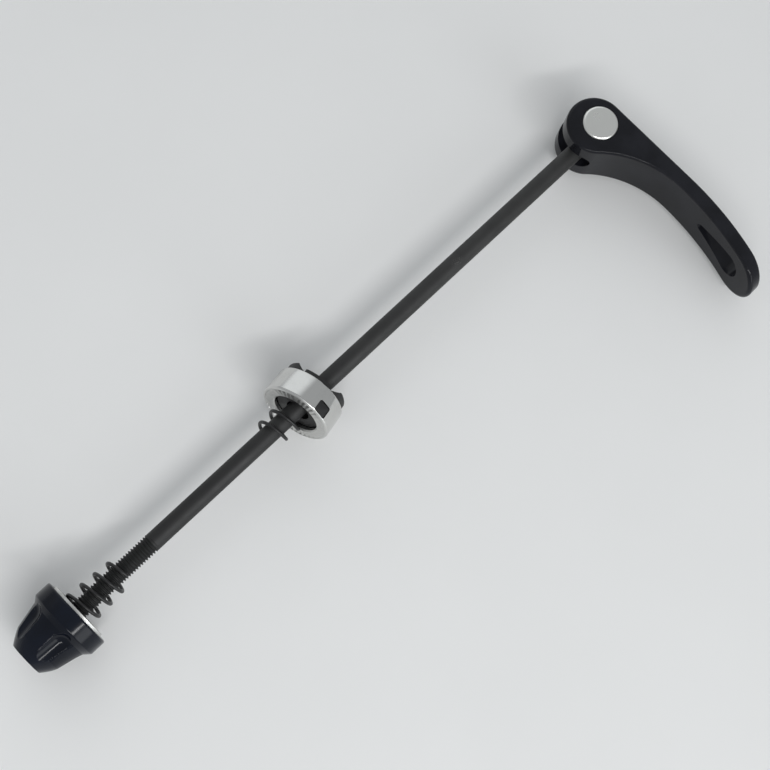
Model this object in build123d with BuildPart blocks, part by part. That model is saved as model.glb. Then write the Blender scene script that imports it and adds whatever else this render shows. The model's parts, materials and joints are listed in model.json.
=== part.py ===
"""Quick release skewer for a bicycle wheel: rod, outside-cam lever, cup, springs and nut.

The origin is where the rod's axis crosses the lever's pivot axis. +X runs along the rod
out through the lever's head, so the nut is at -X. The closed lever points to -Y and its
pivot is parallel to Z. All sizes are in millimetres.
"""
import os
from math import atan2, cos, degrees, radians, sin, sqrt, tan

from build123d import *

# Rod with its M5 thread
rod_d = 4.8
thread_d = 5.0
thread_run = 39.0
rod_tip_chamfer = 0.6
rod_tail = 4.2

# Distance from the lever's pivot to the face of the nut that grips the frame
clamp_span = 185.8

# Pivot barrel
barrel_d = 9.9
barrel_proud = 0.6
barrel_edge = 0.8
pivot_clearance = 0.05

# Lever: eccentric head, curved blade, fork and window
cam_r = 8.2
cam_x = -1.1
cam_y = 0.4
head_width = 15.2
tip_width = 16.4
blade_thickness = 4.1
bend_y = -28.0
bend_r = 95.0
tip_y = -61.0
lever_edge = 0.9
fork_clearance = 0.4
fork_floor_y = -5.2
bore_chamfer = 0.6
window_wide_r = 3.9
window_wide_y = -50.6
window_narrow_r = 1.3
window_narrow_y = -38.9

# Cup, a turned ring that leans on the rod
cup_x = -110.55
cup_lean = 15.6
cup_lean_y = 0.669
cup_lean_z = -0.743
cup_height = 7.4
cup_hub_r = 10.0
cup_rim_r = 9.6
cup_hole_r = 6.4
cup_floor = 2.2
cup_wall = 0.9
cup_hub_edge = 1.2
cup_rim_edge = 0.35
cup_hole_chamfer = 0.35

# Saddle that the cams press on
saddle_clearance = 0.05
saddle_bore_r = 3.3
saddle_top = 10.1
saddle_web = 5.3
saddle_horn_tip = 1.9
saddle_boss_r = 6.2
saddle_wall_top = 8.7
saddle_wall_clearance = 0.1
saddle_valley_clearance = 0.15
saddle_edge = 0.3

# Springs
wire_d = 0.9
cup_spring_big_r = 4.1
cup_spring_small_r = 3.6
cup_spring_length = 8.9
cup_spring_turns = 2.0
cup_spring_gap = 0.25
nut_spring_big_r = 4.7
nut_spring_small_r = 3.5
nut_spring_length = 17.2
nut_spring_turns = 4.1
nut_spring_gap = 0.05

# Nut: flange, shoulder, cone with finger flutes and a blunt end
nut_length = 15.9
nut_flange_r = 9.85
nut_flange_length = 4.2
nut_flange_edge = 0.5
nut_shoulder_r = 8.6
nut_shoulder_length = 1.5
nut_cone_angle = 13.6
nut_cone_length = 6.5
nut_dome_r = 5.85
nut_dome_length = 2.0
nut_end_r = 4.6
nut_flute_count = 5
nut_flute_first = 26.0
nut_flute_start = 8.1
nut_flute_r = 3.5
nut_flute_floor_r = 7.0
nut_flute_angle = 8.7
nut_flute_edge = 0.35
nut_pocket_depth = 2.4
thread_clearance = 0.05

# Serrated ring on the nut's face
face_ring_r = 8.05
face_ring_hole_r = 5.7
face_ring_thickness = 1.6
face_ring_proud = 0.6
face_ring_teeth = 30
face_ring_tooth_depth = 0.35
face_ring_land = 0.6

# Nylon lock ring in the nut's outer end
lock_ring_r = 3.3
lock_ring_thickness = 3.0
lock_ring_inset = 0.3

# Values worked out from the sizes above
rod_r = rod_d / 2
thread_r = thread_d / 2
barrel_r = barrel_d / 2
wire_r = wire_d / 2
nut_face_x = -clamp_span - face_ring_proud
nut_end_x = nut_face_x - nut_length
rod_end_x = nut_end_x + lock_ring_thickness / 2
thread_end_x = rod_end_x + thread_run

os.makedirs("parts", exist_ok=True)


def spring_cone(big_r, small_r, length):
    """Half angle of a conical spring, in degrees."""
    return degrees(atan2(big_r - small_r, length))


# Rod: rolled thread, thinner shank, and the end that is screwed into the barrel
with BuildPart() as rod:
    with BuildSketch(Plane.XY):
        with BuildLine():
            Polyline(
                (rod_end_x, 0),
                (rod_end_x, thread_r - rod_tip_chamfer),
                (rod_end_x + rod_tip_chamfer, thread_r),
                (thread_end_x, thread_r),
                (thread_end_x + thread_r - rod_r, rod_r),
                (-rod_tail, rod_r),
                (-rod_tail, thread_r),
                (rod_tail, thread_r),
                (rod_tail, 0),
                close=True,
            )
        make_face()
    revolve(axis=Axis.X)
rod.part.label = "rod"
export_step(rod.part, "parts/rod.step")

# Pivot barrel: cross pin through both cheeks, drilled across for the rod
with BuildPart() as pivot_barrel:
    with BuildSketch(Plane.XY):
        Circle(barrel_r)
    extrude(amount=head_width / 2 + barrel_proud, both=True)
    fillet(pivot_barrel.edges().filter_by(GeomType.CIRCLE), barrel_edge)
    with BuildSketch(Plane.YZ):
        Circle(thread_r)
    extrude(amount=barrel_d, both=True, mode=Mode.SUBTRACT)
pivot_barrel.part.label = "pivot_barrel"
export_step(pivot_barrel.part, "parts/pivot_barrel.step")

# Lever side view: cam circle, back line, curved blade and the arc that blends it into the cam
back_x = cam_x + cam_r
belly_x = back_x - blade_thickness
bend_center = (back_x - bend_r, bend_y)
bend_angle = degrees(atan2(bend_y - tip_y + blade_thickness, bend_r - blade_thickness))
belly_dx = belly_x - cam_x
belly_dy = cam_y - bend_y
blend_r = (belly_dx**2 + belly_dy**2 - cam_r**2) / (2 * (belly_dx + cam_r))
blend_center = (belly_x - blend_r, bend_y)
blend_angle = degrees(atan2(belly_dy, blend_r - belly_dx))
tip_r = tip_width / 2
fork_r = rod_r + fork_clearance

with BuildPart() as lever:
    with BuildSketch(Plane.XY):
        with BuildLine():
            Line((back_x, cam_y), (back_x, bend_y))
            back_bend = CenterArc(bend_center, bend_r, 0, -bend_angle)
            belly_bend = CenterArc(bend_center, bend_r - blade_thickness, 0, -bend_angle)
            Line(back_bend @ 1, belly_bend @ 1)
            CenterArc(blend_center, blend_r, 0, blend_angle)
            CenterArc((cam_x, cam_y), cam_r, 0, 180 + blend_angle)
        make_face()
    extrude(amount=tip_width, both=True)
    # Seen from the back the sides open a little towards the round tip
    with BuildSketch(Plane.YZ) as lever_outline:
        with Locations((cam_y + cam_r + lever_edge, 0)):
            Circle(head_width / 2)
        with Locations((tip_y + tip_r, 0)):
            Circle(tip_r)
        make_hull()
    extrude(amount=bend_r, both=True, mode=Mode.INTERSECT)
    rim = lever.edges().filter_by(Axis.X, reverse=True).filter_by(Axis.Z, reverse=True)
    fillet(rim, lever_edge)
    # Fork slot for the rod, open from the closed side round to the open side
    with BuildSketch(Plane.YZ):
        with Locations((fork_floor_y + fork_r, 0)):
            Circle(fork_r)
            Rectangle(2 * cam_r, 2 * fork_r, align=(Align.MIN, Align.CENTER))
    extrude(amount=2 * cam_r, both=True, mode=Mode.SUBTRACT)
    # Pivot bore with an eased edge in each outer cheek face
    with BuildSketch(Plane.XY):
        Circle(barrel_r + pivot_clearance)
    extrude(amount=tip_width, both=True, mode=Mode.SUBTRACT)
    for side in (1, -1):
        cheek = Plane(origin=(0, 0, side * head_width / 2), x_dir=(1, 0, 0), z_dir=(0, 0, -side))
        with BuildSketch(cheek):
            Circle(barrel_r + pivot_clearance + bore_chamfer)
        extrude(amount=bore_chamfer, taper=45, mode=Mode.SUBTRACT)
    # Tapered window through the blade
    with BuildSketch(Plane.YZ):
        with Locations((window_wide_y, 0)):
            Circle(window_wide_r)
        with Locations((window_narrow_y, 0)):
            Circle(window_narrow_r)
        make_hull()
    extrude(amount=bend_r, both=True, mode=Mode.SUBTRACT)
lever.part.label = "lever"
export_step(lever.part, "parts/lever.step")

# The cup's own planes: its axis leans away from the rod's axis
lean_axis = Axis((0, 0, 0), (0, -cup_lean_z, cup_lean_y))
cup_axis_dir = Vector(1, 0, 0).rotate(lean_axis, cup_lean)
cup_horn_dir = Vector(0, 1, 0).rotate(lean_axis, cup_lean)
saddle_r = cup_rim_r - cup_wall - saddle_clearance
valley_r = cam_r + saddle_valley_clearance
horn_half = saddle_r - saddle_horn_tip
valley_floor = saddle_top - valley_r + sqrt(valley_r**2 - horn_half**2)
web_base = valley_floor - saddle_web
wall_half = sqrt(saddle_r**2 - (head_width / 2) ** 2)
lean_station = valley_floor - saddle_web / 2
cup_origin = Vector(cup_x, 0, 0) - cup_axis_dir * lean_station
cup_section = Plane(cup_origin, x_dir=cup_horn_dir, z_dir=cup_horn_dir.cross(cup_axis_dir))
cup_axis = Axis(cup_origin, cup_axis_dir)

# Cup: turned ring, flat on the hub side, with a seat for the saddle
with BuildPart() as cup:
    with BuildSketch(cup_section):
        with BuildLine():
            Polyline(
                (cup_hole_r, 0),
                (cup_hub_r, 0),
                (cup_rim_r, cup_height),
                (cup_rim_r - cup_wall, cup_height),
                (cup_rim_r - cup_wall, cup_floor),
                (cup_hole_r, cup_floor),
                close=True,
            )
        make_face()
        fillet(vertices().group_by(Axis.Y)[0].sort_by(Axis.X)[-1], cup_hub_edge)
        chamfer(vertices().group_by(Axis.Y)[0].sort_by(Axis.X)[0], cup_hole_chamfer)
        fillet(vertices().group_by(Axis.Y)[-1], cup_rim_edge)
    revolve(axis=cup_axis)
cup.part.label = "cup"
export_step(cup.part, "parts/cup.step")

# Saddle: plastic plug through the cup's floor, with a valley for the cams between horns and low guide walls
with BuildPart() as cam_saddle:
    with BuildSketch(cup_section):
        with BuildLine():
            Polyline(
                (saddle_bore_r, web_base),
                (saddle_boss_r, web_base),
                (saddle_boss_r, cup_floor),
                (saddle_r, cup_floor),
                (saddle_r, saddle_top),
                (saddle_bore_r, saddle_top),
                close=True,
            )
        make_face()
    revolve(axis=cup_axis)
    with BuildSketch(cup_section):
        with Locations((0, valley_floor + valley_r)):
            Circle(valley_r)
    extrude(amount=head_width / 2 + saddle_wall_clearance, both=True, mode=Mode.SUBTRACT)
    with BuildSketch(cup_section):
        with Locations((0, saddle_wall_top)):
            Rectangle(2 * wall_half, saddle_top, align=(Align.CENTER, Align.MIN))
    extrude(amount=saddle_r, both=True, mode=Mode.SUBTRACT)
    horn_tops = cam_saddle.faces().filter_by(cup_axis).group_by(cup_axis)[-1]
    chamfer(horn_tops.edges(), saddle_edge)
cam_saddle.part.label = "cam_saddle"
export_step(cam_saddle.part, "parts/cam_saddle.step")

# Cup spring: its big end sits in the cup, clear of the leaning saddle, its small end faces the nut
cup_spring_pitch = (cup_spring_length - wire_d) / cup_spring_turns
saddle_reach = saddle_web / 2 / cos(radians(cup_lean)) + (cup_spring_big_r + wire_r) * tan(radians(cup_lean))
cup_spring_x = cup_x - saddle_reach - cup_spring_gap - wire_r

with BuildPart() as cup_spring:
    with BuildLine() as cup_coil:
        Helix(
            pitch=cup_spring_pitch,
            height=cup_spring_length - wire_d,
            radius=cup_spring_big_r,
            center=(cup_spring_x, 0, 0),
            direction=(-1, 0, 0),
            cone_angle=-spring_cone(cup_spring_big_r, cup_spring_small_r, cup_spring_length),
        )
    with BuildSketch(Plane(cup_coil.line @ 0, z_dir=cup_coil.line % 0)):
        Circle(wire_r)
    sweep(is_frenet=True)
cup_spring.part.label = "cup_spring"
export_step(cup_spring.part, "parts/cup_spring.step")

# Nut spring: its big end sits in the nut's pocket, its small end faces the cup
nut_spring_pitch = (nut_spring_length - wire_d) / nut_spring_turns
nut_spring_x = nut_face_x - nut_pocket_depth + nut_spring_gap + wire_r

with BuildPart() as nut_spring:
    with BuildLine() as nut_coil:
        Helix(
            pitch=nut_spring_pitch,
            height=nut_spring_length - wire_d,
            radius=nut_spring_big_r,
            center=(nut_spring_x, 0, 0),
            direction=(1, 0, 0),
            cone_angle=-spring_cone(nut_spring_big_r, nut_spring_small_r, nut_spring_length),
        )
    with BuildSketch(Plane(nut_coil.line @ 0, z_dir=nut_coil.line % 0)):
        Circle(wire_r)
    sweep(is_frenet=True)
nut_spring.part.label = "nut_spring"
export_step(nut_spring.part, "parts/nut_spring.step")

# Nut: flange, shoulder, cone and blunt end turned as one, then round-ended finger flutes
shoulder_x = nut_face_x - nut_flange_length
cone_start_x = shoulder_x - nut_shoulder_length
cone_end_x = cone_start_x - nut_cone_length
cone_end_r = nut_shoulder_r - nut_cone_length * tan(radians(nut_cone_angle))
flute_slope = radians(nut_flute_angle)
flute_frames = []
for index in range(nut_flute_count):
    turn = radians(nut_flute_first + index * 360 / nut_flute_count)
    outward = Vector(0, -sin(turn), cos(turn))
    flute_centre = Vector(nut_face_x - nut_flute_start, 0, 0) + outward * (nut_flute_floor_r + nut_flute_r)
    flute_run = Vector(-cos(flute_slope), 0, 0) - outward * sin(flute_slope)
    flute_frames.append(Plane(flute_centre, z_dir=flute_run))

with BuildPart() as nut:
    with BuildSketch(Plane.XY):
        with BuildLine():
            Polyline(
                (nut_end_x, nut_end_r),
                (nut_end_x, 0),
                (nut_face_x, 0),
                (nut_face_x, nut_flange_r),
                (shoulder_x, nut_flange_r),
                (cone_start_x, nut_shoulder_r),
                (cone_end_x, cone_end_r),
            )
            ThreePointArc(
                (cone_end_x, cone_end_r),
                (cone_end_x - nut_dome_length, nut_dome_r),
                (nut_end_x, nut_end_r),
            )
        make_face()
        fillet(vertices().sort_by(Axis.Y)[-2:], nut_flange_edge)
    revolve(axis=Axis.X)
    with Locations(*flute_frames):
        Sphere(nut_flute_r, mode=Mode.SUBTRACT)
        Cylinder(
            nut_flute_r,
            nut_length,
            align=(Align.CENTER, Align.CENTER, Align.MIN),
            mode=Mode.SUBTRACT,
        )
    flute_rims = nut.edges().filter_by(GeomType.CIRCLE, reverse=True).filter_by(GeomType.LINE, reverse=True)
    fillet(flute_rims, nut_flute_edge)
    # Seat for the face ring, pocket for the spring, threaded bore and seat for the lock ring
    with BuildSketch(Plane.YZ.offset(nut_face_x)):
        Circle(face_ring_r)
    extrude(amount=-(face_ring_thickness - face_ring_proud), mode=Mode.SUBTRACT)
    with BuildSketch(Plane.YZ.offset(nut_face_x)):
        Circle(face_ring_hole_r)
    extrude(amount=-nut_pocket_depth, mode=Mode.SUBTRACT)
    with BuildSketch(Plane.YZ.offset(nut_face_x)):
        Circle(thread_r + thread_clearance)
    extrude(amount=-nut_length, mode=Mode.SUBTRACT)
    with BuildSketch(Plane.YZ.offset(nut_end_x)):
        Circle(lock_ring_r)
    extrude(amount=lock_ring_thickness + lock_ring_inset, mode=Mode.SUBTRACT)
nut.part.label = "nut"
export_step(nut.part, "parts/nut.step")

# Face ring: steel ring set in the nut's face, with radial teeth that bite the frame
tooth_length = face_ring_r - face_ring_hole_r - 2 * face_ring_land
tooth_planes = []
for index in range(face_ring_teeth):
    turn = radians(index * 360 / face_ring_teeth)
    outward = Vector(0, -sin(turn), cos(turn))
    tooth_origin = Vector(-clamp_span, 0, 0) + outward * (face_ring_hole_r + face_ring_land)
    tooth_planes.append(Plane(tooth_origin, x_dir=Vector(1, 0, 0).cross(outward), z_dir=outward))

with BuildPart() as nut_face_ring:
    with BuildSketch(Plane.YZ.offset(-clamp_span)):
        Circle(face_ring_r)
        Circle(face_ring_hole_r, mode=Mode.SUBTRACT)
    extrude(amount=-face_ring_thickness)
    with BuildSketch(*tooth_planes):
        Rectangle(face_ring_tooth_depth * sqrt(2), face_ring_tooth_depth * sqrt(2), rotation=45)
    extrude(amount=tooth_length, mode=Mode.SUBTRACT)
nut_face_ring.part.label = "nut_face_ring"
export_step(nut_face_ring.part, "parts/nut_face_ring.step")

# Lock ring: nylon ring in the nut's outer end that grips the thread
with BuildPart() as nut_lock_ring:
    with BuildSketch(Plane.YZ.offset(nut_end_x + lock_ring_inset)):
        Circle(lock_ring_r)
        Circle(thread_r + thread_clearance, mode=Mode.SUBTRACT)
    extrude(amount=lock_ring_thickness)
nut_lock_ring.part.label = "nut_lock_ring"
export_step(nut_lock_ring.part, "parts/nut_lock_ring.step")
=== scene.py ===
"""Rolled thread, toothed cup, finishes and studio stage of a quick release skewer."""
import json
import math

import bpy
from bpy.props import FloatProperty, FloatVectorProperty, IntProperty, PointerProperty
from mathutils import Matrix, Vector


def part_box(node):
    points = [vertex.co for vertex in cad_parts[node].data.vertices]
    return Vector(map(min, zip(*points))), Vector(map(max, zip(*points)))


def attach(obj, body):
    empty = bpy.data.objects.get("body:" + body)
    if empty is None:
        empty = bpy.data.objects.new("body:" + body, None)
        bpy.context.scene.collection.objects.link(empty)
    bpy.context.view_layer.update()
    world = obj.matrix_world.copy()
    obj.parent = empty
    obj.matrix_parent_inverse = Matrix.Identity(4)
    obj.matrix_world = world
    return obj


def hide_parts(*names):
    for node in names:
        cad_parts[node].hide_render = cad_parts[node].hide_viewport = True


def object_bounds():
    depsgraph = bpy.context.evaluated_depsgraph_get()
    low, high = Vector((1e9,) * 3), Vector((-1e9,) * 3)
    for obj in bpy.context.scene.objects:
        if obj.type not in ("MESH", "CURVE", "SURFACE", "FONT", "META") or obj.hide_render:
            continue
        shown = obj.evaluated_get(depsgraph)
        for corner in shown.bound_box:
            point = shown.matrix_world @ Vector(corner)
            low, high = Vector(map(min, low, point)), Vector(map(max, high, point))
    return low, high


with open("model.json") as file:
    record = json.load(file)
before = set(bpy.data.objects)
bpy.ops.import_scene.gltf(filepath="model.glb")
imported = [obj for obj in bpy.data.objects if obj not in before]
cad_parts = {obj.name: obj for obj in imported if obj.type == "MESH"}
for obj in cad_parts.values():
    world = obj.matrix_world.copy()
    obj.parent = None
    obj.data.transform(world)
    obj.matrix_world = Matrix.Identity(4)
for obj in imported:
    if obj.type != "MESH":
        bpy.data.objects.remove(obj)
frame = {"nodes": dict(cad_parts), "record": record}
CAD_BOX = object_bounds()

bl_info = {
    "name": "Quick release skewer",
    "version": (1, 0, 0),
    "blender": (4, 5, 0),
    "location": "View3D > Sidebar > Skewer",
    "description": "Gives the packed skewer its rolled thread, toothed cup, finishes and a studio stage",
    "category": "Object",
}

# Places that come from the frame: the rod's threaded end, and the middle and turn of the cup's hub face
ROD_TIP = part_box("rod")[0][0]
CUP_MOUNT = next(mount for mount in frame["record"]["mounts"] if mount["name"] == "cup_clamp_face")
CUP_FACE = Vector(CUP_MOUNT["pos_m"])
CUP_TURN = (-Vector(CUP_MOUNT["axis"])).to_track_quat("X", "Z").to_euler()

# One pitch of the rolled thread, as shares of the pitch and of the thread's depth
THREAD_FORM = (
    (0.00, 0.00),
    (0.10, 0.04),
    (0.39, 0.90),
    (0.45, 1.00),
    (0.55, 1.00),
    (0.61, 0.90),
    (0.90, 0.04),
    (1.00, 0.00),
)
# Turns of thread that are rolled past the tip and past the other end of the run, and then cut off
TURNS_PAST_TIP = 2
TURNS_PAST_END = 1

# Faces across each rounded edge, and steps of the cup's spin for each tooth
SHANK_EDGE_STEPS = 3
HUB_EDGE_STEPS = 8
RIM_EDGE_STEPS = 4
WINDOW_CORNER_STEPS = 4
LUG_EDGE_STEPS = 2
TOOTH_STEPS = 4

# In metres: points closer together than the first become one, and closer to a cut than the second lie on it
MERGE_GAP = 0.000005
CUT_GAP = 0.0000001
# A face points along a direction when more than this share of its normal does
FACING = 0.9
# Edges that bend by less than this are shaded smooth
THREAD_SHADING = math.radians(35)
CUP_SHADING = math.radians(30)

# Where along the rod the oxide starts to be rubbed thin, and where it is rubbed most
RUBBED_FROM = -0.165
RUBBED_MOST = -0.045
# Middle of the scuff on the rod
SCUFF = (-0.055, -0.0004, 0.0024)
# Height over the cup's hub face where its satin starts to turn bright, and where it is all bright
SATIN_END = 0.0003
BRIGHT_START = 0.0006
# How much smoother and how much rougher than its stated roughness the black paint is in places
PAINT_SMOOTHER = 0.03
PAINT_ROUGHER = 0.06
# Roughness of the noise in every grain, and spacing of the rings of a wave texture at a scale of 1
GRAIN_ROUGHNESS = 0.55
WAVE_SPACING = 0.314

# Soft bright parts of the sky, in degrees: turn and rise of the middle, reach of the even core and of all
BRIGHT_SIDE = (55, 25, 16, 39)
WINDOW_SIDE = (264, 20, 8, 22)
# The strip lamp: turn and rise in degrees
STRIP_LAMP = (240, 48)
# The camera's sensor in millimetres, and the nearest point that it sees
SENSOR_WIDTH = 36
CLIP_START = 0.01


def length(name, description, default):
    return FloatProperty(
        name=name, description=description, default=default, min=0.0,
        unit="LENGTH", subtype="DISTANCE", precision=5,
    )


def colour(name, description, default):
    return FloatVectorProperty(
        name=name, description=description, default=default,
        size=3, min=0.0, max=1.0, subtype="COLOR",
    )


def share(name, description, default):
    return FloatProperty(
        name=name, description=description, default=default, min=0.0, max=1.0, subtype="FACTOR",
    )


def light_strength(name, description, default):
    return FloatProperty(name=name, description=description, default=default, min=0.0)


def count(name, description, default, least):
    return IntProperty(name=name, description=description, default=default, min=least)


class SkewerRod(bpy.types.PropertyGroup):
    """Sizes of the rod and its rolled thread"""
    shank_diameter: length("Shank diameter", "Plain part of the rod", 0.0048)
    shank_edge: length("Shank edge", "Rounding of the shank where it meets the thread", 0.0003175)
    shank_faces: count("Shank faces", "Faces round the shank", 72, least=12)
    thread_diameter: length("Thread diameter", "Over the crests of the thread", 0.005)
    thread_pitch: length("Thread pitch", "From crest to crest", 0.0008)
    thread_depth: length("Thread depth", "From crest to root", 0.00047)
    thread_run: length("Thread run", "Length of the threaded end", 0.039)
    thread_faces: count("Thread faces", "Faces round one turn of the thread", 40, least=12)
    tip_chamfer: length("Tip chamfer", "Chamfer at the end of the thread", 0.0006)
    tail: length("Tail", "Half length of the part screwed into the pivot barrel", 0.0042)


class SkewerCup(bpy.types.PropertyGroup):
    """Sizes of the cup, its gripping teeth and its windows"""
    hub_radius: length("Hub radius", "Outer radius at the hub face", 0.00983)
    rim_radius: length("Rim radius", "Outer radius at the open rim", 0.0096)
    height: length("Height", "From the hub face to the rim", 0.0074)
    hole_radius: length("Hole radius", "Hole in the floor", 0.0064)
    floor: length("Floor", "Thickness of the floor", 0.0022)
    wall: length("Wall", "Thickness of the wall", 0.0009)
    hub_edge: length("Hub edge", "Rounding of the hub edge", 0.0007)
    rim_edge: length("Rim edge", "Rounding of the rim", 0.00035)
    lip: length("Lip", "Chamfer round the hole", 0.00035)
    teeth: count("Teeth", "Gripping teeth round the hub face", 40, least=8)
    teeth_inner: length("Teeth inner radius", "Where the teeth start", 0.0078)
    teeth_outer: length("Teeth outer radius", "Where the teeth end", 0.00905)
    teeth_depth: length("Teeth depth", "From crest to root", 0.00022)
    window_turn: FloatProperty(
        name="Window turn", description="Turn of the first window about the cup's axis",
        default=math.radians(-35), subtype="ANGLE",
    )
    window_start: length("Window start", "From the hub face to the windows", 0.00035)
    window_length: length("Window length", "Along the cup's axis", 0.0034)
    window_width: length("Window width", "Round the cup", 0.0039)
    window_corner: length("Window corner", "Rounding of the windows' corners", 0.0005)
    window_depth: length("Window depth", "How deep the windows go into the wall", 0.0009)
    lug_recess: length("Lug recess", "How far the saddle's lugs lie back in the windows", 0.0004)
    lug_gap: length("Lug gap", "Clearance round a lug", 0.00008)
    lug_edge: length("Lug edge", "Rounding of a lug's face", 0.00015)


class SkewerFinish(bpy.types.PropertyGroup):
    """Colours and gloss of the finishes"""
    rod: colour("Rod", "Black oxide on the rod", (0.007, 0.007, 0.0075))
    rod_rubbed: colour("Rod, rubbed", "Where the oxide is rubbed thin", (0.022, 0.022, 0.0215))
    rod_bare: colour("Rod, bare", "Steel that shows in a scuff", (0.08, 0.08, 0.077))
    lever: colour("Lever", "Black paint of the lever", (0.0096, 0.0100, 0.0126))
    lever_roughness: share("Lever roughness", "Roughness of the lever's paint", 0.14)
    lever_sheen: share("Lever sheen", "How strongly the lever's paint mirrors", 0.17)
    nut: colour("Nut", "Black paint of the nut", (0.0028, 0.0044, 0.0092))
    nut_roughness: share("Nut roughness", "Roughness of the nut's paint", 0.15)
    nut_sheen: share("Nut sheen", "How strongly the nut's paint mirrors", 0.22)
    dust: colour("Dust", "Fine dust on the paint", (0.08, 0.08, 0.078))
    pin: colour("Pin", "Plated steel of the pivot barrel", (0.82, 0.82, 0.79))
    chrome: colour("Cup", "Bright plating of the cup", (0.65, 0.65, 0.635))
    saddle: colour("Saddle", "Black moulded plastic", (0.008, 0.008, 0.0085))
    spring: colour("Springs", "Blackened spring wire", (0.008, 0.008, 0.0085))
    ring: colour("Face ring", "Bare steel of the nut's face ring", (0.8, 0.8, 0.78))
    nylon: colour("Lock ring", "Natural nylon", (0.72, 0.71, 0.66))


class SkewerStage(bpy.types.PropertyGroup):
    """Floor, light and camera"""
    floor: colour("Floor", "Pale floor", (0.86, 0.86, 0.855))
    floor_size: length("Floor size", "Side of the floor", 4.0)
    sky_colour: colour("Sky colour", "Slightly cool light of the room", (0.95, 0.98, 1.0))
    sky: light_strength("Sky", "Strength of the even light from all round", 0.46)
    bright_side: light_strength("Bright side", "Light added on the side that the cup mirrors", 0.5)
    window_side: light_strength("Window side", "Light added on the side of the lever's blade", 2.5)
    strip: FloatProperty(
        name="Strip lamp", description="Power of the strip lamp that draws the thin lights",
        default=3.2, min=0.0, unit="POWER",
    )
    strip_length: length("Strip length", "Length of the strip lamp", 0.8)
    strip_width: length("Strip width", "Width of the strip lamp", 0.08)
    strip_distance: length("Strip distance", "From the skewer's middle to the strip lamp", 0.9)
    camera_place: FloatVectorProperty(
        name="Camera place", description="Where the camera stands", size=3, precision=5,
        default=(-0.178419, -0.045279, 0.339657), unit="LENGTH", subtype="XYZ",
    )
    camera_turn: FloatVectorProperty(
        name="Camera turn", description="How the camera is turned", size=3, subtype="EULER",
        default=(math.radians(13.99616), math.radians(-6.27536), math.radians(-44.68957)),
    )
    camera_lens: FloatProperty(
        name="Lens", description="Focal length in millimetres", default=63.85, min=1.0,
    )


# Picking and drawing, as by hand


def deselect():
    if bpy.context.object and bpy.context.object.mode != "OBJECT":
        bpy.ops.object.mode_set(mode="OBJECT")
    bpy.ops.object.select_all(action="DESELECT")


def pick(*chosen):
    deselect()
    for piece in chosen:
        piece.select_set(True)
        bpy.context.view_layer.objects.active = piece


def edit(piece, element="VERT"):
    pick(piece)
    bpy.ops.object.mode_set(mode="EDIT")
    bpy.ops.mesh.select_mode(type=element)


def leave_edit():
    bpy.ops.object.mode_set(mode="OBJECT")


def clear_picked(piece, element):
    """Leave a mesh with nothing picked, so that elements of one kind can be picked next."""
    edit(piece, element)
    bpy.ops.mesh.select_all(action="DESELECT")
    leave_edit()


def edit_facing(piece, toward):
    """Edit a mesh with the faces picked that point along a direction."""
    clear_picked(piece, "FACE")
    for face in piece.data.polygons:
        face.select = face.normal.dot(Vector(toward)) > FACING
    edit(piece, "FACE")


def fix_in_mesh(piece):
    """Move an object's place, turn and size into its mesh."""
    pick(piece)
    bpy.ops.object.transform_apply(location=True, rotation=True, scale=True)


def draw_line(name, points):
    """Start a piece as one line through points given as (along, radius), and stay in edit mode."""
    deselect()
    bpy.ops.mesh.primitive_plane_add(size=MERGE_GAP)
    line = bpy.context.object
    line.name = name
    edit(line)
    bpy.ops.mesh.select_all(action="SELECT")
    bpy.ops.mesh.merge(type="CENTER")
    bpy.ops.transform.translate(value=(points[0][0], 0, points[0][1]))
    for start, end in zip(points, points[1:]):
        step = (end[0] - start[0], 0, end[1] - start[1])
        bpy.ops.mesh.extrude_vertices_move(TRANSFORM_OT_translate={"value": step})
    return line


def round_corner(centre, radius, first, last, steps):
    """Points of an arc from one turn to another, in degrees."""
    corner = []
    for index in range(steps + 1):
        turn = math.radians(first + (last - first) * index / steps)
        corner.append((centre[0] + radius * math.cos(turn), centre[1] + radius * math.sin(turn)))
    return corner


def pointing(turn, rise):
    """Direction with a turn about Z and a rise over the floor, in degrees."""
    level = math.cos(math.radians(rise))
    return Vector((
        level * math.cos(math.radians(turn)),
        level * math.sin(math.radians(turn)),
        math.sin(math.radians(rise)),
    ))


# Building blocks of the finishes


def start_finish(name, metallic, roughness):
    finish = bpy.data.materials.new(name)
    finish.use_nodes = True
    shader = finish.node_tree.nodes["Principled BSDF"]
    shader.inputs["Metallic"].default_value = metallic
    shader.inputs["Roughness"].default_value = roughness
    return finish, finish.node_tree, shader


def place_on_piece(tree, stretch=(1, 1, 1), centre=(0, 0, 0), turn=(0, 0, 0)):
    where = tree.nodes.new("ShaderNodeTexCoord")
    mapping = tree.nodes.new("ShaderNodeMapping")
    mapping.vector_type = "TEXTURE"
    mapping.inputs["Location"].default_value = centre
    mapping.inputs["Rotation"].default_value = turn
    mapping.inputs["Scale"].default_value = stretch
    tree.links.new(where.outputs["Object"], mapping.inputs["Vector"])
    return mapping.outputs["Vector"]


def grain(tree, place, size, detail=3):
    noise = tree.nodes.new("ShaderNodeTexNoise")
    noise.inputs["Scale"].default_value = 1 / size
    noise.inputs["Detail"].default_value = detail
    noise.inputs["Roughness"].default_value = GRAIN_ROUGHNESS
    tree.links.new(place, noise.inputs["Vector"])
    return noise.outputs["Fac"]


def dots(tree, place, spacing):
    cells = tree.nodes.new("ShaderNodeTexVoronoi")
    cells.inputs["Scale"].default_value = 1 / spacing
    tree.links.new(place, cells.inputs["Vector"])
    return cells.outputs["Distance"]


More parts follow.
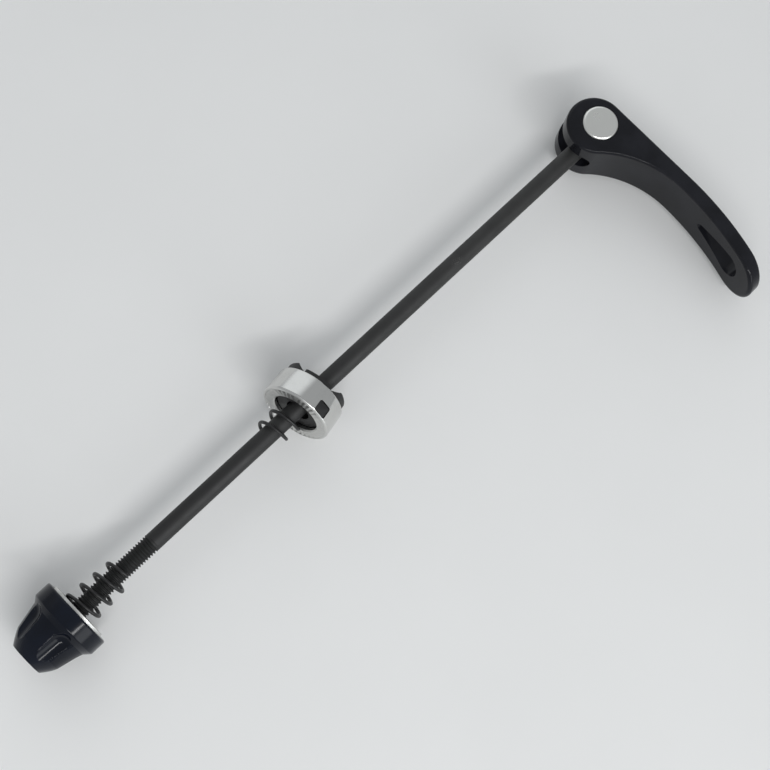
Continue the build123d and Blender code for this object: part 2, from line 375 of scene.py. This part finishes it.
def rings(tree, place, spacing, axis):
    wave = tree.nodes.new("ShaderNodeTexWave")
    wave.wave_type = "RINGS"
    wave.rings_direction = axis
    wave.inputs["Scale"].default_value = WAVE_SPACING / spacing
    wave.inputs["Distortion"].default_value = 0.6
    wave.inputs["Detail"].default_value = 2.0
    tree.links.new(place, wave.inputs["Vector"])
    return wave.outputs["Fac"]


def along_axis(tree, place, axis):
    split = tree.nodes.new("ShaderNodeSeparateXYZ")
    tree.links.new(place, split.inputs["Vector"])
    return split.outputs[axis]


def distance(tree, place):
    reach = tree.nodes.new("ShaderNodeVectorMath")
    reach.operation = "LENGTH"
    tree.links.new(place, reach.inputs[0])
    return reach.outputs["Value"]


def spread(tree, value, start, end, low=0.0, high=1.0):
    """Go smoothly from low to high while the value goes from start to end."""
    ramp = tree.nodes.new("ShaderNodeMapRange")
    ramp.interpolation_type = "SMOOTHSTEP"
    ramp.inputs["From Min"].default_value = start
    ramp.inputs["From Max"].default_value = end
    ramp.inputs["To Min"].default_value = low
    ramp.inputs["To Max"].default_value = high
    tree.links.new(value, ramp.inputs["Value"])
    return ramp.outputs["Result"]


def both(tree, first, second, operation="MULTIPLY"):
    joined = tree.nodes.new("ShaderNodeMath")
    joined.operation = operation
    tree.links.new(first, joined.inputs[0])
    tree.links.new(second, joined.inputs[1])
    return joined.outputs["Value"]


def blend_colour(tree, factor, plain, other):
    """Mix a colour or a socket with another colour."""
    mix = tree.nodes.new("ShaderNodeMix")
    mix.data_type = "RGBA"
    if isinstance(plain, bpy.types.NodeSocket):
        tree.links.new(plain, mix.inputs["A"])
    else:
        mix.inputs["A"].default_value = (*plain, 1)
    mix.inputs["B"].default_value = (*other, 1)
    tree.links.new(factor, mix.inputs["Factor"])
    return mix.outputs["Result"]


def mottled(tree, pattern, tone, change):
    """A tone that is changed by a factor where the pattern is high."""
    other = tuple(min(1.0, channel * change) for channel in tone)
    return blend_colour(tree, pattern, tone, other)


def lay_on(tree, shader, look, socket):
    tree.links.new(look, shader.inputs[socket])


def relief(tree, shader, height, depth, strength):
    bump = tree.nodes.new("ShaderNodeBump")
    bump.inputs["Strength"].default_value = strength
    bump.inputs["Distance"].default_value = depth
    tree.links.new(height, bump.inputs["Height"])
    lay_on(tree, shader, bump.outputs["Normal"], "Normal")


def dress(node, finish):
    solid = frame["nodes"][node]
    solid.data.materials.clear()
    solid.data.materials.append(finish)


# The finishes


def black_oxide_finish(tones):
    """Matt black that is rubbed paler towards the lever, with fine drawn lines and one scuff."""
    finish, tree, shader = start_finish("rod_black", metallic=0.0, roughness=0.5)
    place = place_on_piece(tree)
    drawn = grain(tree, place_on_piece(tree, stretch=(20, 1, 1)), size=0.0006)
    patches = grain(tree, place, size=0.005, detail=4)
    pores = grain(tree, place, size=0.0002, detail=2)
    specks = grain(tree, place, size=0.0003, detail=1)
    from_scuff = distance(tree, place_on_piece(tree, centre=SCUFF, stretch=(1.8, 1, 1)))
    handled = both(
        tree,
        spread(tree, along_axis(tree, place, "X"), start=RUBBED_FROM, end=RUBBED_MOST, low=0.25),
        spread(tree, patches, start=0.2, end=0.65, low=0.6),
    )
    scuff = both(
        tree,
        spread(tree, from_scuff, start=0.0015, end=0.0002),
        spread(tree, specks, start=0.45, end=0.75),
    )
    body = blend_colour(tree, handled, tones.rod, tones.rod_rubbed)
    lines = blend_colour(tree, spread(tree, drawn, start=0.45, end=0.8, high=0.35), body, tones.rod_rubbed)
    lay_on(tree, shader, blend_colour(tree, scuff, lines, tones.rod_bare), "Base Color")
    lay_on(tree, shader, spread(tree, patches, start=0.3, end=0.75, low=0.6, high=0.5), "Roughness")
    relief(tree, shader, pores, depth=0.00001, strength=0.5)
    return finish


def black_paint_finish(name, tone, roughness, sheen, dust):
    """Smooth paint with a faint orange peel, cloudy gloss and a few specks of dust."""
    finish, tree, shader = start_finish(name, metallic=0.0, roughness=roughness)
    shader.inputs["Specular IOR Level"].default_value = sheen
    place = place_on_piece(tree)
    clouds = grain(tree, place, size=0.009, detail=4)
    peel = grain(tree, place, size=0.0012, detail=2)
    specks = both(
        tree,
        spread(tree, dots(tree, place, spacing=0.0014), start=0.12, end=0.05),
        spread(tree, grain(tree, place, size=0.006), start=0.6, end=0.74),
    )
    body = mottled(tree, spread(tree, clouds, start=0.35, end=0.7), tone, change=1.6)
    gloss = spread(
        tree, clouds, start=0.3, end=0.75, low=roughness - PAINT_SMOOTHER, high=roughness + PAINT_ROUGHER,
    )
    lay_on(tree, shader, blend_colour(tree, specks, body, dust), "Base Color")
    lay_on(tree, shader, gloss, "Roughness")
    relief(tree, shader, peel, depth=0.00003, strength=0.25)
    return finish


def plated_pin_finish(tones):
    """Satin plating with faint clouds."""
    finish, tree, shader = start_finish("pin_steel", metallic=1.0, roughness=0.3)
    clouds = grain(tree, place_on_piece(tree), size=0.004)
    tone = mottled(tree, spread(tree, clouds, start=0.3, end=0.8), tones.pin, change=0.96)
    lay_on(tree, shader, tone, "Base Color")
    lay_on(tree, shader, spread(tree, clouds, start=0.3, end=0.8, low=0.27, high=0.31), "Roughness")
    relief(tree, shader, clouds, depth=0.00005, strength=0.3)
    return finish


def bright_plating_finish(tones):
    """Bright plating with some haze and fine scratches, satin on the hub face."""
    finish, tree, shader = start_finish("cup_chrome", metallic=1.0, roughness=0.1)
    place = place_on_piece(tree)
    from_face = along_axis(tree, place_on_piece(tree, centre=CUP_FACE, turn=CUP_TURN), "X")
    haze = grain(tree, place, size=0.004, detail=5)
    scratches = grain(tree, place_on_piece(tree, stretch=(1, 9, 9)), size=0.00035)
    satin = spread(tree, from_face, start=SATIN_END, end=BRIGHT_START, low=0.32, high=0.0)
    gloss = spread(tree, haze, start=0.35, end=0.75, low=0.06, high=0.16)
    tone = mottled(tree, spread(tree, haze, start=0.4, end=0.8), tones.chrome, change=0.93)
    lay_on(tree, shader, tone, "Base Color")
    lay_on(tree, shader, both(tree, gloss, satin, operation="MAXIMUM"), "Roughness")
    relief(tree, shader, scratches, depth=0.000004, strength=0.2)
    return finish


def moulded_plastic_finish(tones):
    """Matt plastic with a fine moulded texture."""
    finish, tree, shader = start_finish("saddle_plastic", metallic=0.0, roughness=0.5)
    place = place_on_piece(tree)
    clouds = grain(tree, place, size=0.005)
    texture = grain(tree, place, size=0.00025, detail=2)
    tone = mottled(tree, spread(tree, clouds, start=0.35, end=0.7), tones.saddle, change=1.5)
    lay_on(tree, shader, tone, "Base Color")
    lay_on(tree, shader, spread(tree, clouds, start=0.3, end=0.7, low=0.44, high=0.6), "Roughness")
    relief(tree, shader, texture, depth=0.00002, strength=0.4)
    return finish


def spring_wire_finish(tones):
    """Blackened wire, paler and smoother in patches."""
    finish, tree, shader = start_finish("spring_black", metallic=0.0, roughness=0.4)
    place = place_on_piece(tree)
    patches = grain(tree, place, size=0.0025, detail=5)
    tone = mottled(tree, spread(tree, patches, start=0.4, end=0.75), tones.spring, change=2.2)
    lay_on(tree, shader, tone, "Base Color")
    lay_on(tree, shader, spread(tree, patches, start=0.3, end=0.75, low=0.46, high=0.32), "Roughness")
    relief(tree, shader, grain(tree, place, size=0.0003), depth=0.00001, strength=0.4)
    return finish


def bare_ring_finish(tones):
    """Bare steel with turning marks."""
    finish, tree, shader = start_finish("ring_steel", metallic=1.0, roughness=0.42)
    place = place_on_piece(tree)
    patches = grain(tree, place, size=0.002, detail=5)
    turned = rings(tree, place, spacing=0.0003, axis="X")
    tone = mottled(tree, spread(tree, patches, start=0.4, end=0.75), tones.ring, change=0.8)
    lay_on(tree, shader, tone, "Base Color")
    lay_on(tree, shader, spread(tree, patches, start=0.3, end=0.75, low=0.38, high=0.5), "Roughness")
    relief(tree, shader, turned, depth=0.000004, strength=0.5)
    return finish


def nylon_finish(tones):
    """Natural nylon with faint clouds."""
    finish, tree, shader = start_finish("lock_nylon", metallic=0.0, roughness=0.45)
    place = place_on_piece(tree)
    clouds = grain(tree, place, size=0.002)
    tone = mottled(tree, spread(tree, clouds, start=0.35, end=0.7), tones.nylon, change=0.88)
    lay_on(tree, shader, tone, "Base Color")
    relief(tree, shader, grain(tree, place, size=0.0004), depth=0.00002, strength=0.4)
    return finish


def pale_floor_finish(tone):
    """Matt pale paper with a faint cast."""
    finish, tree, shader = start_finish("floor_pale", metallic=0.0, roughness=0.6)
    shader.inputs["Specular IOR Level"].default_value = 0.2
    cast = grain(tree, place_on_piece(tree), size=0.05)
    paper = mottled(tree, spread(tree, cast, start=0.3, end=0.7), tone, change=0.985)
    lay_on(tree, shader, paper, "Base Color")
    return finish


# The pieces


class SKEWER_OT_threaded_rod(bpy.types.Operator):
    """Model the rod with its rolled thread in place of the plain solid"""
    bl_idname = "skewer.threaded_rod"
    bl_label = "Threaded rod"

    def execute(self, context):
        sizes = context.scene.skewer_rod
        thread = self.roll_thread(sizes)
        shank = self.turn_shank(sizes)
        pick(shank, thread)
        bpy.ops.object.join()
        bpy.ops.object.shade_smooth_by_angle(angle=THREAD_SHADING)
        thread.data.materials.append(black_oxide_finish(context.scene.skewer_finish))
        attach(thread, "rod")
        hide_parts("rod")
        return {"FINISHED"}

    def roll_thread(self, sizes):
        """Wind one pitch of the thread's form along the rod and cut the run to its length."""
        pitch = sizes.thread_pitch
        start = ROD_TIP - TURNS_PAST_TIP * pitch
        root = sizes.thread_diameter / 2 - sizes.thread_depth
        form = [(start + along * pitch, root + out * sizes.thread_depth) for along, out in THREAD_FORM]
        thread = draw_line("threaded_rod", form)
        leave_edit()
        screw = thread.modifiers.new("thread", "SCREW")
        screw.axis = "X"
        screw.screw_offset = pitch
        screw.iterations = TURNS_PAST_TIP + math.ceil(sizes.thread_run / pitch) + TURNS_PAST_END
        screw.steps = screw.render_steps = sizes.thread_faces
        bpy.ops.object.modifier_apply(modifier=screw.name)
        edit(thread)
        bpy.ops.mesh.select_all(action="SELECT")
        bpy.ops.mesh.remove_doubles(threshold=MERGE_GAP)
        for cut, outward in ((ROD_TIP, -1), (ROD_TIP + sizes.thread_run, 1)):
            bpy.ops.mesh.select_all(action="SELECT")
            bpy.ops.mesh.bisect(
                plane_co=(cut, 0, 0), plane_no=(outward, 0, 0), use_fill=True, clear_outer=True,
                threshold=CUT_GAP,
            )
        bpy.ops.mesh.select_all(action="SELECT")
        bpy.ops.mesh.normals_make_consistent(inside=False)
        leave_edit()
        self.chamfer_tip(thread, sizes)
        return thread

    def chamfer_tip(self, thread, sizes):
        """Draw the crests in to a cone at the tip."""
        tip_radius = sizes.thread_diameter / 2 - sizes.tip_chamfer
        for vertex in thread.data.vertices:
            radius = math.hypot(vertex.co.y, vertex.co.z)
            limit = tip_radius + vertex.co.x - ROD_TIP
            if radius > limit:
                vertex.co.y *= limit / radius
                vertex.co.z *= limit / radius

    def turn_shank(self, sizes):
        """The plain shank from inside the thread's end to the thicker tail in the pivot barrel."""
        start = ROD_TIP + sizes.thread_run - sizes.thread_pitch
        deselect()
        bpy.ops.mesh.primitive_cylinder_add(
            vertices=sizes.shank_faces, radius=sizes.shank_diameter / 2, depth=-sizes.tail - start,
            location=((start - sizes.tail) / 2, 0, 0), rotation=(0, math.pi / 2, 0),
        )
        shank = bpy.context.object
        fix_in_mesh(shank)
        edit_facing(shank, (-1, 0, 0))
        bpy.ops.mesh.bevel(offset=sizes.shank_edge, segments=SHANK_EDGE_STEPS)
        edit_facing(shank, (1, 0, 0))
        grown = sizes.thread_diameter / sizes.shank_diameter
        bpy.ops.mesh.extrude_region_move(TRANSFORM_OT_translate={"value": (0, 0, 0)})
        bpy.ops.transform.resize(value=(1, grown, grown), center_override=(-sizes.tail, 0, 0))
        bpy.ops.mesh.extrude_region_move(TRANSFORM_OT_translate={"value": (2 * sizes.tail, 0, 0)})
        bpy.ops.mesh.select_all(action="SELECT")
        bpy.ops.mesh.normals_make_consistent(inside=False)
        leave_edit()
        return shank


class SKEWER_OT_lever(bpy.types.Operator):
    """Paint the lever and plate its pivot barrel"""
    bl_idname = "skewer.lever"
    bl_label = "Lever and pivot barrel"

    def execute(self, context):
        tones = context.scene.skewer_finish
        paint = black_paint_finish(
            "lever_black", tones.lever, tones.lever_roughness, tones.lever_sheen, tones.dust,
        )
        dress("lever", paint)
        dress("pivot_barrel", plated_pin_finish(tones))
        return {"FINISHED"}


class SKEWER_OT_cup(bpy.types.Operator):
    """Turn the cup with its gripping teeth and windows, plate it and finish its moulded saddle"""
    bl_idname = "skewer.cup"
    bl_label = "Cup and saddle"

    def execute(self, context):
        sizes = context.scene.skewer_cup
        tones = context.scene.skewer_finish
        plastic = moulded_plastic_finish(tones)
        cup = self.turn_ring(sizes)
        self.press_teeth(cup, sizes)
        lugs = self.fit_lugs(cup, sizes)
        for piece, finish in ((cup, bright_plating_finish(tones)), (lugs, plastic)):
            piece.location = CUP_FACE
            piece.rotation_euler = CUP_TURN
            fix_in_mesh(piece)
            bpy.ops.object.shade_smooth_by_angle(angle=CUP_SHADING)
            piece.data.materials.append(finish)
            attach(piece, "cup")
        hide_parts("cup")
        dress("cam_saddle", plastic)
        return {"FINISHED"}

    def profile(self, sizes):
        """Section of the ring from the hole's lip round the outside and back, as (along, radius)."""
        hub_centre = (sizes.hub_edge, sizes.hub_radius - sizes.hub_edge)
        inner = sizes.rim_radius - sizes.wall
        rim_start = sizes.height - sizes.rim_edge
        outer_centre = (rim_start, sizes.rim_radius - sizes.rim_edge)
        inner_centre = (rim_start, inner + sizes.rim_edge)
        return [
            (sizes.floor, sizes.hole_radius),
            (sizes.lip, sizes.hole_radius),
            (0, sizes.hole_radius + sizes.lip),
            (0, sizes.teeth_inner),
            (0, sizes.teeth_outer),
            *round_corner(hub_centre, sizes.hub_edge, first=180, last=90, steps=HUB_EDGE_STEPS),
            *round_corner(outer_centre, sizes.rim_edge, first=90, last=0, steps=RIM_EDGE_STEPS),
            *round_corner(inner_centre, sizes.rim_edge, first=0, last=-90, steps=RIM_EDGE_STEPS),
            (sizes.floor, inner),
            (sizes.floor, sizes.hole_radius),
        ]

    def turn_ring(self, sizes):
        ring = draw_line("toothed_cup", self.profile(sizes))
        bpy.ops.mesh.select_all(action="SELECT")
        bpy.ops.mesh.spin(
            steps=TOOTH_STEPS * sizes.teeth, angle=2 * math.pi,
            center=(0, 0, 0), axis=(1, 0, 0), use_normal_flip=False,
        )
        bpy.ops.mesh.select_all(action="SELECT")
        bpy.ops.mesh.remove_doubles(threshold=MERGE_GAP)
        bpy.ops.mesh.normals_make_consistent(inside=False)
        leave_edit()
        return ring

    def press_teeth(self, ring, sizes):
        """Press the hub face back between the teeth, in a wave round the axis."""
        for vertex in ring.data.vertices:
            radius = math.hypot(vertex.co.y, vertex.co.z)
            on_face = vertex.co.x < MERGE_GAP
            if on_face and sizes.teeth_inner - MERGE_GAP < radius < sizes.teeth_outer + MERGE_GAP:
                wave = math.cos(sizes.teeth * math.atan2(vertex.co.y, vertex.co.z))
                vertex.co.x = sizes.teeth_depth * (1 - wave) / 2

    def fit_lugs(self, ring, sizes):
        """Cut two opposite windows into the wall and set a snap lug of the saddle in each."""
        seat = sizes.hub_radius - sizes.window_depth
        lugs = []
        for turn in (sizes.window_turn, sizes.window_turn + math.pi):
            cutter = self.window_block(sizes, seat, sizes.hub_radius + sizes.wall, gap=0)
            self.turn_to(cutter, turn)
            window = ring.modifiers.new("window", "BOOLEAN")
            window.object = cutter
            window.solver = "EXACT"
            pick(ring)
            bpy.ops.object.modifier_apply(modifier=window.name)
            bpy.data.objects.remove(cutter)
            lug = self.window_block(
                sizes, seat + sizes.lug_gap, sizes.hub_radius - sizes.lug_recess, gap=sizes.lug_gap,
            )
            edit_facing(lug, (0, 0, 1))
            bpy.ops.mesh.bevel(offset=sizes.lug_edge, segments=LUG_EDGE_STEPS)
            leave_edit()
            self.turn_to(lug, turn)
            lugs.append(lug)
        pick(*lugs)
        bpy.ops.object.join()
        lugs[-1].name = "saddle_lugs"
        return lugs[-1]

    def window_block(self, sizes, low, high, gap):
        """A block with rounded corners that stands in a window on the cup's top, between two radii."""
        deselect()
        bpy.ops.mesh.primitive_cube_add(size=1)
        block = bpy.context.object
        block.scale = (sizes.window_length - 2 * gap, sizes.window_width - 2 * gap, high - low)
        block.location = (sizes.window_start + sizes.window_length / 2, 0, (low + high) / 2)
        fix_in_mesh(block)
        clear_picked(block, "EDGE")
        for edge in block.data.edges:
            foot, top = (block.data.vertices[end].co for end in edge.vertices)
            edge.select = abs(top.z - foot.z) > (high - low) / 2
        edit(block, "EDGE")
        bpy.ops.mesh.bevel(offset=sizes.window_corner - gap, segments=WINDOW_CORNER_STEPS)
        leave_edit()
        return block

    def turn_to(self, block, turn):
        block.rotation_euler.x = -turn
        fix_in_mesh(block)


class SKEWER_OT_springs(bpy.types.Operator):
    """Blacken the two conical springs"""
    bl_idname = "skewer.springs"
    bl_label = "Springs"

    def execute(self, context):
        wire = spring_wire_finish(context.scene.skewer_finish)
        dress("cup_spring", wire)
        dress("nut_spring", wire)
        return {"FINISHED"}


class SKEWER_OT_nut(bpy.types.Operator):
    """Paint the nut and finish its face ring and lock ring"""
    bl_idname = "skewer.nut"
    bl_label = "Nut"

    def execute(self, context):
        tones = context.scene.skewer_finish
        paint = black_paint_finish(
            "nut_black", tones.nut, tones.nut_roughness, tones.nut_sheen, tones.dust,
        )
        dress("nut", paint)
        dress("nut_face_ring", bare_ring_finish(tones))
        dress("nut_lock_ring", nylon_finish(tones))
        return {"FINISHED"}


class SKEWER_OT_stage(bpy.types.Operator):
    """Lay the pale floor and set the soft sky, the strip lamp and the camera"""
    bl_idname = "skewer.stage"
    bl_label = "Stage"

    def execute(self, context):
        stage = context.scene.skewer_stage
        context.scene.view_settings.view_transform = "Standard"
        self.lay_floor(stage)
        self.light_sky(context, stage)
        self.hang_strip_lamp(stage)
        self.set_camera(context, stage)
        return {"FINISHED"}

    def lay_floor(self, stage):
        deselect()
        bpy.ops.mesh.primitive_plane_add(size=stage.floor_size, location=(0, 0, CAD_BOX[0][2]))
        floor = bpy.context.object
        floor.name = "floor"
        floor.data.materials.append(pale_floor_finish(stage.floor))

    def light_sky(self, context, stage):
        sky = bpy.data.worlds.new("soft_sky")
        sky.use_nodes = True
        tree = sky.node_tree
        background = tree.nodes["Background"]
        background.inputs["Color"].default_value = (*stage.sky_colour, 1)
        room = self.glow(tree, BRIGHT_SIDE, around=stage.sky, middle=stage.sky + stage.bright_side)
        window = self.glow(tree, WINDOW_SIDE, around=0.0, middle=stage.window_side)
        tree.links.new(both(tree, room, window, operation="ADD"), background.inputs["Strength"])
        context.scene.world = sky

    def glow(self, tree, side, around, middle):
        """Strength that rises softly from around to the middle of one side of the sky."""
        turn, rise, core, whole = side
        toward = tree.nodes.new("ShaderNodeVectorMath")
        toward.operation = "DOT_PRODUCT"
        toward.inputs[1].default_value = pointing(turn, rise)
        tree.links.new(tree.nodes.new("ShaderNodeTexCoord").outputs["Generated"], toward.inputs[0])
        return spread(
            tree, toward.outputs["Value"],
            start=math.cos(math.radians(whole)), end=math.cos(math.radians(core)), low=around, high=middle,
        )

    def hang_strip_lamp(self, stage):
        deselect()
        toward = pointing(*STRIP_LAMP)
        middle = (CAD_BOX[0] + CAD_BOX[1]) / 2
        bpy.ops.object.light_add(type="AREA", location=middle + stage.strip_distance * toward)
        lamp = bpy.context.object
        lamp.name = "strip_lamp"
        lamp.data.shape = "RECTANGLE"
        lamp.data.energy = stage.strip
        lamp.data.size = stage.strip_length
        lamp.data.size_y = stage.strip_width
        lamp.rotation_euler = (-toward).to_track_quat("-Z", "Y").to_euler()

    def set_camera(self, context, stage):
        deselect()
        bpy.ops.object.camera_add(location=stage.camera_place, rotation=stage.camera_turn)
        camera = bpy.context.object
        camera.data.sensor_width = SENSOR_WIDTH
        camera.data.lens = stage.camera_lens
        camera.data.clip_start = CLIP_START
        context.scene.camera = camera


class SKEWER_PT_tools(bpy.types.Panel):
    """Pieces of the skewer and its stage"""
    bl_idname = "SKEWER_PT_tools"
    bl_label = "Quick release skewer"
    bl_space_type = "VIEW_3D"
    bl_region_type = "UI"
    bl_category = "Skewer"

    def draw(self, context):
        for title, group in (
            ("Rod", context.scene.skewer_rod),
            ("Cup", context.scene.skewer_cup),
            ("Finishes", context.scene.skewer_finish),
            ("Stage", context.scene.skewer_stage),
        ):
            box = self.layout.box()
            box.label(text=title)
            for name in group.__annotations__:
                box.prop(group, name)
        for operator in PIECES:
            self.layout.operator(operator.bl_idname)


GROUPS = (SkewerRod, SkewerCup, SkewerFinish, SkewerStage)
PIECES = (
    SKEWER_OT_threaded_rod,
    SKEWER_OT_lever,
    SKEWER_OT_cup,
    SKEWER_OT_springs,
    SKEWER_OT_nut,
    SKEWER_OT_stage,
)
CLASSES = (*GROUPS, *PIECES, SKEWER_PT_tools)


def register():
    for listed in CLASSES:
        bpy.utils.register_class(listed)
    bpy.types.Scene.skewer_rod = PointerProperty(type=SkewerRod)
    bpy.types.Scene.skewer_cup = PointerProperty(type=SkewerCup)
    bpy.types.Scene.skewer_finish = PointerProperty(type=SkewerFinish)
    bpy.types.Scene.skewer_stage = PointerProperty(type=SkewerStage)


def unregister():
    del bpy.types.Scene.skewer_stage
    del bpy.types.Scene.skewer_finish
    del bpy.types.Scene.skewer_cup
    del bpy.types.Scene.skewer_rod
    for listed in reversed(CLASSES):
        bpy.utils.unregister_class(listed)


def main():
    register()
    bpy.ops.skewer.threaded_rod()
    bpy.ops.skewer.lever()
    bpy.ops.skewer.cup()
    bpy.ops.skewer.springs()
    bpy.ops.skewer.nut()
    bpy.ops.skewer.stage()


if __name__ == "__main__":
    main()
